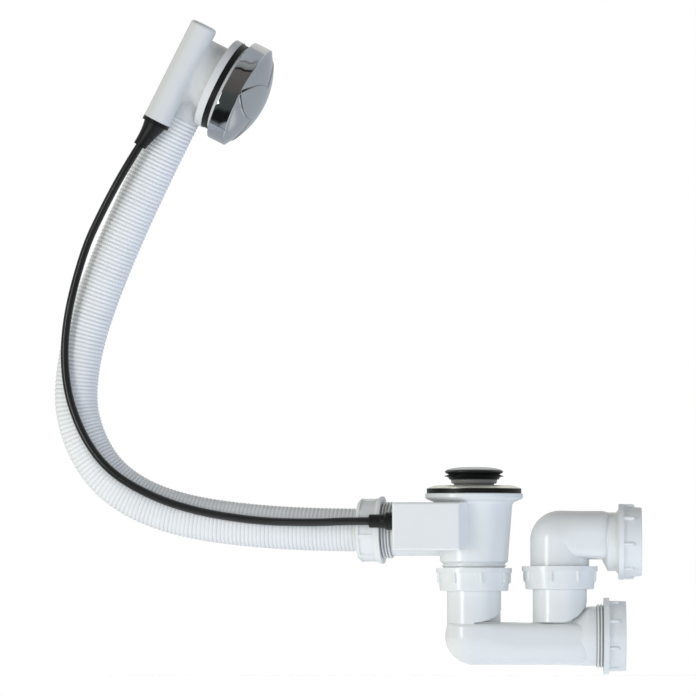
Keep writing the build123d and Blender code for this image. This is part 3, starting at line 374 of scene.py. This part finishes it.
SEAL_BORE = 0.0100
SEAL_UNDER = 0.0068
LIP_ROUND = 0.00025
UPPER_LIP = (0.02095, CAP_UNDER - LIP_ROUND)
LOWER_LIP = (0.02165, 0.0092)
GROOVE = (0.0193, 0.0105)
GROOVE_ROUND = 0.0003
HOLLOW = (0.0216, SEAL_UNDER)
HOLLOW_DEPTH = 0.0032
HOLLOW_RISE = 0.00215
seal_outline = [(SEAL_BORE, CAP_UNDER)]
seal_outline += arc(UPPER_LIP, LIP_ROUND, LIP_ROUND, 90, -60)
seal_outline += arc(GROOVE, GROOVE_ROUND, GROOVE_ROUND, 120, 250)
seal_outline += arc(LOWER_LIP, LIP_ROUND, LIP_ROUND, 70, -80)
seal_outline += arc(HOLLOW, HOLLOW_DEPTH, HOLLOW_RISE, 90, 180)
seal_outline += [(SEAL_BORE, SEAL_UNDER), (SEAL_BORE, CAP_UNDER)]
lip_seal = placed("lip_seal", turned("lip_seal", seal_outline), black_rubber)
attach(lip_seal, "plug")
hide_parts("plug_seal")

CARRIER_TONES = (0.27, 0.268, 0.25, 1), (0.205, 0.203, 0.185, 1)
grey_plastic = moulded("grey_plastic", CARRIER_TONES, rough=0.34, grain=0.00006, IOR=1.48)
dress(grey_plastic, "plug_carrier", "plug_stem")

# Overflow head: white moulding with a drum and thick flange, a collar for the hose and a tube for the pull
# wire. A thick black gasket and a white front plate, held by two plated screws, clamp the bath's wall.
# Painted shade: the head's plastic is a darker copy of the white plastic, for weaker light on the head.
SHADED_HEAD_TONES = (0.675, 0.69, 0.68, 1), (0.65, 0.665, 0.66, 1)
shaded_head_plastic = moulded("shaded_head_plastic", SHADED_HEAD_TONES, rough=0.22, grain=0.00004, IOR=1.5)
CHROME_TONES = (0.56, 0.575, 0.60, 1), (0.52, 0.535, 0.565, 1)
chrome = plated("chrome", CHROME_TONES, rough=0.045)
dress(shaded_head_plastic, "overflow_body")
dress(white_plastic, "overflow_front_plate")
dress(black_rubber, "overflow_gasket")
dress(chrome, "overflow_screws")
dress(gear_plastic, "knob_crank", "cable_slide_upper")

# Knob: a hollow plated cap, turned by hand, on the spindle of the crank that pulls the wire. Its dome carries
# a three-pointed star with curved sides; outside each side the dome is scooped for a finger, so the star's
# points stand up at the rim.
KNOB_MIDDLE = Vector(joints["knob_turn"]["pos_m"])
KNOB_OUT = Vector(joints["knob_turn"]["axis"])
KNOB_UP = Vector((-KNOB_OUT.z, 0, KNOB_OUT.x))
KNOB_FRONT = Vector((0, -1, 0))
KNOB_STEPS = 360
KNOB_RADIUS = 0.0391
KNOB_BACK = 0.0106
KNOB_RIM = 0.0239
DOME_BALL = 0.0645
DOME_SKIN = 0.0026
WALL_SKIN = 0.0024
RIM_ROUND = 0.0009
BACK_ROUND = 0.0008
BORE_RADIUS = 0.00405
BORE_MOUTH = 0.0044
BORE_DEPTH = 0.0090
BOSS_RADIUS = 0.0075
BEVEL = 0.0003
CEILING_RINGS = (0.0075, 0.012, 0.018, 0.024, 0.030, 0.035)
BAND_RINGS = (0.004, 0.008)
RIM_RINGS = 5
FACE_RINGS = 16
STAR_TURN = radians(3.0)
STAR_WAIST = 0.015
STAR_LENGTH = 0.024
SCOOP_STEP = 0.00035
SCOOP_DEPTH = 0.0005
SCOOP_DEEPER_AT_POINT = 0.0006
SCOOP_RUN = 0.004
SCOOP_LONGER_AT_POINT = 0.030
STAR_SHADE_WIDTH = 0.0004
SMOOTH_ALL_OVER = pi
face_radius = KNOB_RADIUS - RIM_ROUND


def dome(across):
    """Height of the dome's ball over the rim plane at a distance from the axis."""
    return sqrt(DOME_BALL ** 2 - across ** 2) - sqrt(DOME_BALL ** 2 - KNOB_RADIUS ** 2)


def star_share(turn):
    """How near a direction is to a point of the star, from 0 midway between two points to 1."""
    return abs(((turn - STAR_TURN) / (2 * pi / 3)) % 1.0 - 0.5) * 2


def star_side(turn):
    """Distance of the star's edge from the axis."""
    return STAR_WAIST + STAR_LENGTH * star_share(turn) ** 1.25


def scoop(across, turn):
    """Depth of the finger scoop: a sharp step down at the star's edge that runs out towards the rim."""
    share = star_share(turn)
    past = max(across - star_side(turn), 0.0)
    depth = SCOOP_DEPTH + SCOOP_DEEPER_AT_POINT * share
    run_out = exp(-past / (SCOOP_RUN + SCOOP_LONGER_AT_POINT * share ** 2))
    return depth * (1 - exp(-past / SCOOP_STEP)) * run_out


def rim_place(bend, turn):
    """Distance from the axis and height on the rounded rim, which dips with the scoops."""
    fall = scoop(face_radius, turn) + RIM_ROUND * (1 - cos(bend))
    return face_radius + RIM_ROUND * sin(bend), KNOB_RIM + dome(face_radius) - fall


def face_place(reach, turn):
    """Distance from the axis and height on the dome, at reach 0 in its middle, 1 at the star's edge and 2 at
    the rim."""
    side = star_side(turn)
    if reach > 1:
        across = side + (face_radius - side) * (reach - 1) ** 2
    else:
        across = side * (1 - (1 - reach) ** 2)
    return across, KNOB_RIM + dome(across) - scoop(across, turn)


def star_painted_shade(across, turn):
    """Painted shade: a dark line along the star's edge, strongest at its points."""
    past = (across - star_side(turn)) / STAR_SHADE_WIDTH
    return (0.3 + 0.7 * star_share(turn)) * exp(-past ** 2)


def knob_point(across, height, turn):
    return KNOB_MIDDLE + KNOB_OUT * height + across * (KNOB_UP * sin(turn) + KNOB_FRONT * cos(turn))


ceiling = KNOB_RIM - DOME_SKIN
inner = KNOB_RADIUS - WALL_SKIN
bore_end = KNOB_BACK + BORE_DEPTH
knob_outline = [
    (BORE_RADIUS, bore_end), (BORE_RADIUS, KNOB_BACK + BEVEL), (BORE_MOUTH, KNOB_BACK),
    (BOSS_RADIUS - BEVEL, KNOB_BACK), (BOSS_RADIUS, KNOB_BACK + BEVEL),
]
knob_outline += [(across, ceiling + dome(across)) for across in CEILING_RINGS]
knob_outline += [(inner, ceiling - BEVEL), (inner, KNOB_BACK + BACK_ROUND / 2), (inner + BEVEL, KNOB_BACK)]
knob_outline += arc((KNOB_RADIUS - BACK_ROUND, KNOB_BACK + BACK_ROUND), BACK_ROUND, BACK_ROUND, -90, 0, 6)
knob_outline += [(KNOB_RADIUS, KNOB_BACK + height) for height in BAND_RINGS]
turns = [2 * pi * step / KNOB_STEPS for step in range(KNOB_STEPS)]
knob_rows = [[place] * KNOB_STEPS for place in knob_outline]
rim_bends = [pi / 2 * (1 - step / RIM_RINGS) for step in range(RIM_RINGS + 1)]
knob_rows += [[rim_place(bend, turn) for turn in turns] for bend in rim_bends]
knob_painted_shade = [0.0] * (len(knob_rows) * KNOB_STEPS)
face_reaches = [step / FACE_RINGS for step in range(2 * FACE_RINGS - 1, 0, -1)]
for reach in face_reaches:
    face_row = [face_place(reach, turn) for turn in turns]
    # Painted shade along the star's edge, laid through the crease attribute.
    knob_painted_shade += [star_painted_shade(across, turn) for (across, height), turn in zip(face_row, turns)]
    knob_rows.append(face_row)
knob_points = [knob_point(*place, turn) for row in knob_rows for place, turn in zip(row, turns)]
knob_points += [knob_point(0.0, bore_end, 0.0), knob_point(0.0, KNOB_RIM + dome(0.0), 0.0)]
knob_painted_shade += [0.0, 0.0]
bore_middle = len(knob_rows) * KNOB_STEPS
last_ring = bore_middle - KNOB_STEPS
knob_faces = rows_joined(len(knob_rows), KNOB_STEPS)
for step in range(KNOB_STEPS):
    after = (step + 1) % KNOB_STEPS
    knob_faces += [(after, step, bore_middle), (last_ring + step, last_ring + after, bore_middle + 1)]
knob_mesh = outward_faces("knob_cap", knob_points, knob_faces, knob_painted_shade)
knob_cap = placed("knob_cap", knob_mesh, chrome, sharp=SMOOTH_ALL_OVER)
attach(knob_cap, "knob")
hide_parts("knob")

# Overflow hose: white flexible pipe, blown with narrow rounded ribs, pushed on the head's collar and clamped
# in the branch of the waste body by a ribbed nut and a rubber ring. It shows its whole length.
hose_route = [
    (-0.0620, 0, -0.0306), (-0.1095, 0, -0.0306), (-0.1674, 0, -0.0274), (-0.2176, 0, -0.0202),
    (-0.2556, 0, -0.0064), (-0.2828, 0, 0.0161), (-0.2995, 0, 0.0534), (-0.2984, 0, 0.0912),
    (-0.2862, 0, 0.1365), (-0.253321, 0, 0.213996), (-0.221542, 0, 0.276367),
]
HOSE_SIZES = {"Outer radius": 0.016, "Rib length": 0.00298, "Rib depth": 0.0008, "Step": 0.00038}
HOSE_SIDES = 44
RIB_FULLNESS = 0.7


def laid_line(name, points, resolution):
    """Smooth line with the route's points as its control points."""
    curve = bpy.data.curves.new(name, "CURVE")
    curve.dimensions = "3D"
    spline = curve.splines.new("NURBS")
    spline.points.add(len(points) - 1)
    for point, place in zip(spline.points, points):
        point.co = (*place, 1.0)
    spline.order_u = 3
    spline.use_endpoint_u = True
    spline.resolution_u = resolution
    line = bpy.data.objects.new(name, curve)
    bpy.context.scene.collection.objects.link(line)
    return line


def evaluated_mesh(piece):
    """Plain mesh of a piece as its curve or modifier makes it."""
    return bpy.data.meshes.new_from_object(piece.evaluated_get(bpy.context.evaluated_depsgraph_get()))


def ribbed_pipe(material):
    """Nodes that sweep a ribbed pipe along an edge line, and the identifiers of the inputs for its sizes."""
    tree = bpy.data.node_groups.new("ribbed_pipe", "GeometryNodeTree")
    tree.interface.new_socket("Line", in_out="INPUT", socket_type="NodeSocketGeometry")
    identifiers = {}
    for name in HOSE_SIZES:
        socket = tree.interface.new_socket(name, in_out="INPUT", socket_type="NodeSocketFloat")
        identifiers[name] = socket.identifier
    tree.interface.new_socket("Pipe", in_out="OUTPUT", socket_type="NodeSocketGeometry")
    given = Shade(tree).add("NodeGroupInput")
    give = {socket.name: Shade(tree, socket) for socket in given.socket.node.outputs}
    line = given.add("GeometryNodeMeshToCurve", None, {"Mesh": give["Line"]})
    line = line.add("GeometryNodeResampleCurve", {"mode": "LENGTH"}, {"Curve": line, "Length": give["Step"]})
    along = line.add("GeometryNodeSplineParameter", output="Length")
    wave = (along * pi / give["Rib length"]).math("SINE").math("ABSOLUTE").math("POWER", RIB_FULLNESS)
    scale = give["Outer radius"] - give["Rib depth"] * (1 - wave)
    section = line.add("GeometryNodeCurvePrimitiveCircle", None, {"Resolution": HOSE_SIDES, "Radius": 1.0})
    line = line.add("GeometryNodeStoreNamedAttribute", {"data_type": "FLOAT", "domain": "POINT"}, {
        "Geometry": line, "Name": "rib", "Value": wave})
    pipe = line.add("GeometryNodeCurveToMesh", None, {
        "Curve": line, "Profile Curve": section, "Scale": scale, "Fill Caps": True})
    pipe = pipe.add("GeometryNodeSetShadeSmooth", None, {0: pipe})
    pipe = pipe.add("GeometryNodeRealizeInstances", None, {0: pipe})
    pipe = pipe.add("GeometryNodeSetMaterial", None, {0: pipe, "Material": material})
    tree.links.new(pipe.socket, tree.nodes.new("NodeGroupOutput").inputs[0])
    return tree, identifiers


# Painted shade: the valleys between the hose's ribs are darker in colour than the ribs.
VALLEY_SHADE_TONE = (0.62, 0.635, 0.645, 1)
RIB_TONE = (0.79, 0.81, 0.80, 1)
HOSE_CLOUD_SCALE = 26.0
HOSE_PATCH_SCALE = 140.0
HOSE_SKIN_SCALE = 700.0
hose_plastic, hose_shader, place = finish_named("hose_plastic", IOR=1.48)
rib = place.add("ShaderNodeAttribute", {"attribute_name": "rib"}, output="Fac")
cloud = place.noise(HOSE_CLOUD_SCALE, 4.0).between(0.35, 0.7)
feed(hose_shader,
     Base_Color=(rib.between(0.1, 0.75) * 0.85 + cloud * 0.15).mix(VALLEY_SHADE_TONE, RIB_TONE),
     Roughness=place.noise(HOSE_PATCH_SCALE, 3.0) * 0.12 + 0.24,
     Normal=place.noise(HOSE_SKIN_SCALE, 2.0).bump(0.00005, 0.5))

hose_line = laid_line("hose_line", hose_route, 40)
hose_mesh = evaluated_mesh(hose_line)
bpy.data.objects.remove(hose_line)
hose_pipe = bpy.data.objects.new("hose_pipe", hose_mesh)
bpy.context.scene.collection.objects.link(hose_pipe)
ribs = hose_pipe.modifiers.new("ribs", "NODES")
ribs.node_group, hose_inputs = ribbed_pipe(hose_plastic)
for name, identifier in hose_inputs.items():
    ribs[identifier] = HOSE_SIZES[name]
hose_pipe.data = evaluated_mesh(hose_pipe)
hose_pipe.modifiers.clear()
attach(hose_pipe, "waste")
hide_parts("hose")
dress(white_plastic, "inlet_nut")
dress(seal_rubber, "hose_seal")

# Pull cable: a thin black plastic sheath from the boot under the head's tube, laid along the front of the
# hose, to the boot in the side of the gear box. The boots are soft black rubber cones.
cable_route = [
    (-0.2470, -0.0242, 0.2544), (-0.258437, -0.0242, 0.236788), (-0.2754, -0.0212, 0.2068),
    (-0.2900, -0.0206, 0.1763), (-0.3041, -0.0202, 0.1224), (-0.3041, -0.0202, 0.0790),
    (-0.2932, -0.0202, 0.0446), (-0.2752, -0.0202, 0.0173), (-0.2486, -0.0202, -0.0011),
    (-0.2116, -0.0203, -0.0155), (-0.1608, -0.0218, -0.0241), (-0.1150, -0.0280, -0.0253),
    (-0.0917, -0.0310, -0.0242), (-0.0737, -0.0310, -0.0242),
]
CABLE_RADIUS = 0.003
SHEATH_TONES = (0.016, 0.017, 0.017, 1), (0.012, 0.013, 0.013, 1)
cable_sheath = moulded("cable_sheath", SHEATH_TONES, rough=0.3, grain=0.00005, IOR=1.5)
cable_line = laid_line("cable_line", cable_route, 24)
cable_line.data.bevel_depth = CABLE_RADIUS
cable_line.data.bevel_resolution = 6
cable_line.data.use_fill_caps = True
cable_line.data.materials.append(cable_sheath)
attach(cable_line, "waste")
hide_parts("cable")
dress(black_rubber, "upper_boot", "lower_boot")

# Trap: two legs and a cross tube in one white moulding, with a clean-out neck and cap at the foot. Its nut
# hangs on the waste's outlet and its collar seals on a flat washer, so the trap can be swung before it is
# tightened. The foot is about as deep as the legs, and squarer on the side where they stand on it.
dress(white_plastic, "trap_inlet_nut", "cleanout_cap")
dress(threaded_plastic, "trap_body")
SECTION_STEPS = 120
BALL_STATIONS = 14
RUN_STATIONS = 10
END_STATIONS = ((0.2, 1.0), (0.4, 1.0), (0.6, 1.0), (0.8, 1.0), (0.9, 0.985), (0.96, 0.96), (1.0, 0.9))
BALL_TIP = 0.0001
TUBE_SQUARENESS = 5.0
TUBE_ROUNDNESS = 2.2


def blended(first, second, share):
    return first + (second - first) * share


def bend_section(bend, along, share, swell):
    """Ring of points across a moulded bend: a ball over the upright tube at share 0, a deep side tube at
    share 1. The side tube is round on one side and squarer towards flat_z, on the upright tube's side."""
    ease = share * share * (3 - 2 * share)
    ball = sqrt(max(bend["ball"] ** 2 - min(along, 0.0) ** 2, BALL_TIP ** 2))
    middle = blended(bend["ball_z"], bend["tube_z"], ease)
    depth = blended(ball, bend["depth"], ease) * swell
    flat = min(abs(bend["flat_z"] - middle), ball) * swell
    arch = blended(ball, abs(bend["round_z"] - bend["tube_z"]), ease) * swell
    upward = copysign(1.0, bend["flat_z"] - bend["tube_z"])
    flat_power = 2 / blended(bend["corner"], TUBE_SQUARENESS, ease)
    arch_power = 2 / blended(2.0, TUBE_ROUNDNESS, ease)
    outward = bend["reach"] + along
    ring = []
    for step in range(SECTION_STEPS):
        turn = 2 * pi * (step + 0.5) / SECTION_STEPS
        power, rise = (flat_power, flat) if sin(turn) > 0 else (arch_power, -arch)
        across = copysign(depth * abs(cos(turn)) ** power, cos(turn))
        ring.append((outward * cos(TRAP_TURN) - across * sin(TRAP_TURN),
                     outward * sin(TRAP_TURN) + across * cos(TRAP_TURN),
                     middle + upward * rise * abs(sin(turn)) ** power))
    return ring


def moulded_bend(name, body, bend):
    """Closed piece over a bend, from the far side of its ball to where the side tube sinks into the flare."""
    ball_steps = [pi / 2 * step / BALL_STATIONS for step in range(BALL_STATIONS + 1)]
    run_shares = [step / RUN_STATIONS for step in range(1, RUN_STATIONS + 1)]
    stations = [(-bend["ball"] * cos(step), 0.0, 1.0) for step in ball_steps]
    stations += [(bend["run"] * share, share, 1.0) for share in run_shares]
    stations += [(blended(bend["run"], bend["end"], share), 1.0, swell) for share, swell in END_STATIONS]
    points = [point for station in stations for point in bend_section(bend, *station)]
    faces = rows_joined(len(stations), SECTION_STEPS)
    faces += [tuple(range(SECTION_STEPS)), tuple(range(len(points) - SECTION_STEPS, len(points)))]
    piece = placed(name, outward_faces(name, points, faces), white_plastic)
    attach(piece, body)


moulded_bend("trap_foot", "trap", {
    "reach": 0.0, "ball": 0.0213, "ball_z": -0.1090, "tube_z": -0.1147, "flat_z": -0.0991, "round_z": -0.1303,
    "depth": 0.0202, "corner": 7.0, "run": 0.034, "end": 0.085})

# Outlet elbow: white moulding that turns on the trap's riser leg, held there by a nut on a flat washer. It
# ends in a nut and washer for the waste pipe, and its corner is a full round.
dress(white_plastic, "riser_nut", "outlet_elbow", "outlet_nut")
dress(seal_rubber, "riser_washer", "outlet_washer")
moulded_bend("elbow_bend", "elbow", {
    "reach": hypot(RISER_FOOT[0], RISER_FOOT[1]), "ball": 0.02183, "ball_z": -0.0381, "tube_z": -0.0344,
    "flat_z": -0.0523, "round_z": -0.0165, "depth": 0.0216, "corner": 2.0, "run": 0.014, "end": 0.035})

# Floor: a round pale sheet under the trap that fades out to the white surround. It glows a little to the eye
# and in reflections, and throws little light up at the object.
FLOOR_HEIGHT = cad_box[0][2] - 0.0005
FLOOR_RADIUS = 0.5
FLOOR_STEPS = 96
FLOOR_FADE = (0.22, 0.46)
FLOOR_TONE = (0.86, 0.87, 0.87, 1)
FLOOR_GLOW = 0.6
FLOOR_LETS_THROUGH = 0.85
floor_middle = Vector((0.0, 0.0, FLOOR_HEIGHT))
floor_turns = [2 * pi * step / FLOOR_STEPS for step in range(FLOOR_STEPS)]
disc = [floor_middle + FLOOR_RADIUS * Vector((cos(turn), sin(turn), 0)) for turn in floor_turns]
floor_mesh = bpy.data.meshes.new("floor")
floor_mesh.from_pydata(disc, [], [tuple(range(FLOOR_STEPS))])
floor = bpy.data.objects.new("floor", floor_mesh)
bpy.context.scene.collection.objects.link(floor)


def rays(value, *kinds):
    """1 for light rays of the named kinds and 0 for the rest."""
    total = 0.0
    for kind in kinds:
        total = total + value.add("ShaderNodeLightPath", output=f"Is {kind} Ray")
    return total.math("MINIMUM", 1.0)


floor_paper, floor_shader, place = finish_named("floor_paper", Base_Color=FLOOR_TONE, Roughness=0.9)
seen = rays(place, "Camera", "Glossy", "Transmission")
glow = place.add("ShaderNodeEmission", None, {"Color": (1, 1, 1, 1), "Strength": seen * FLOOR_GLOW})
paper = Shade(place.tree, floor_shader.outputs[0])
paper = paper.add("ShaderNodeAddShader", None, {0: paper, 1: glow})
clear = place.add("ShaderNodeBsdfTransparent")
away = place.vector("DISTANCE", tuple(floor_middle), "Value").between(*FLOOR_FADE)
away = away.math("MAXIMUM", rays(place, "Diffuse") * FLOOR_LETS_THROUGH)
faded = place.add("ShaderNodeMixShader", None, {0: away, 1: paper, 2: clear})
place.tree.links.new(faded.socket, place.tree.nodes["Material Output"].inputs["Surface"])
floor_mesh.materials.append(floor_paper)

# Surround: white to the eye, and a soft light that is warm and strong on the left, cooler on the right and
# weak overhead. What metal mirrors of it is a grey room, dark on the viewer's side, with a pale back wall.
LEFT_LIGHT = (1.12, 1.11, 1.06, 1)
RIGHT_LIGHT = (0.74, 0.83, 1.05, 1)
TOP_LIGHT = (0.22, 0.215, 0.20, 1)
BACK_WALL = (0.50, 0.54, 0.57, 1)
BACK_WINDOW = (0.82, 0.82, 0.78, 1)
ROOM_STOPS = [
    (0.0, (0.34, 0.37, 0.39, 1)), (0.085, (0.46, 0.49, 0.51, 1)), (0.10, (0.012, 0.014, 0.014, 1)),
    (0.19, (0.012, 0.014, 0.014, 1)), (0.24, (0.07, 0.08, 0.08, 1)), (0.45, (0.085, 0.095, 0.092, 1)),
    (0.56, (0.13, 0.12, 0.112, 1)), (0.875, (0.18, 0.165, 0.155, 1)), (0.885, (0.008, 0.008, 0.008, 1)),
    (0.90, (0.008, 0.008, 0.008, 1)), (0.908, (0.28, 0.285, 0.27, 1)), (0.955, (0.46, 0.47, 0.46, 1)),
    (0.962, (0.16, 0.17, 0.18, 1)), (0.972, (0.54, 0.57, 0.60, 1)),
]
world = bpy.data.worlds.new("studio")
bpy.context.scene.world = world
world.use_nodes = True
way = Shade(world.node_tree).add("ShaderNodeTexCoord", output="Generated")
right, back, up = way.part(0), way.part(1), way.part(2)
ambient = up.between(-0.15, 0.7).mix(right.between(-0.9, 0.9).mix(LEFT_LIGHT, RIGHT_LIGHT), TOP_LIGHT)
room = up.add("ShaderNodeValToRGB", {"stops": ROOM_STOPS}, {0: up * 0.5 + 0.5}, "Color")
window = up.between(0.2, 0.4) * (1 - up.between(0.74, 0.82))
mirrored = back.between(-0.2, 0.2).mix(room, window.mix(BACK_WALL, BACK_WINDOW))
shown = rays(way, "Glossy").mix(ambient, mirrored)
shown = rays(way, "Camera", "Transmission").mix(shown, (1, 1, 1, 1))
background = world.node_tree.nodes["Background"]
world.node_tree.links.new(shown.socket, background.inputs["Color"])
background.inputs["Strength"].default_value = 1.0

# Lamps and camera: a tall softbox on the left, a wide weak fill low on the right that metal doesn't mirror,
# and a long lens that looks up a little at the middle of the object.
VIEW_MIDDLE = Vector((-0.09209, -0.01459, 0.1041))
VIEW_WIDTH = 0.51504
VIEW_TURN = radians(9.0)
VIEW_RISE = radians(-1.35)
VIEW_DISTANCE = 10.0
SENSOR_WIDTH = 36.0


def seen_from(turn, rise, distance):
    """Place at an angle round and above the picture's middle."""
    return VIEW_MIDDLE + distance * Vector((sin(turn) * cos(rise), -cos(turn) * cos(rise), sin(rise)))


def softbox(name, turn, rise, distance, width, height, watts, colour):
    lamp = bpy.data.lights.new(name, "AREA")
    lamp.shape = "RECTANGLE"
    lamp.size = width
    lamp.size_y = height
    lamp.energy = watts
    lamp.color = colour
    stand = bpy.data.objects.new(name, lamp)
    stand.location = seen_from(turn, rise, distance)
    stand.rotation_euler = (VIEW_MIDDLE - stand.location).to_track_quat("-Z", "Y").to_euler()
    bpy.context.scene.collection.objects.link(stand)
    return stand


softbox("key_softbox", VIEW_TURN - radians(50), radians(-3), distance=1.4, width=0.30, height=0.7,
        watts=5.0, colour=(1.0, 0.995, 0.98))
fill = softbox("low_fill", VIEW_TURN + radians(26), radians(-11), distance=1.1, width=0.9, height=0.5,
               watts=2.5, colour=(0.93, 0.97, 1.0))
fill.visible_glossy = False

camera_data = bpy.data.cameras.new("camera")
camera_data.sensor_width = SENSOR_WIDTH
camera_data.lens = SENSOR_WIDTH * VIEW_DISTANCE / VIEW_WIDTH
camera_data.clip_end = 100.0
camera = bpy.data.objects.new("camera", camera_data)
camera.location = seen_from(VIEW_TURN, VIEW_RISE, VIEW_DISTANCE)
camera.rotation_euler = (pi / 2 - VIEW_RISE, 0, VIEW_TURN)
bpy.context.scene.collection.objects.link(camera)
bpy.context.scene.camera = camera
bpy.context.scene.view_settings.view_transform = "Standard"
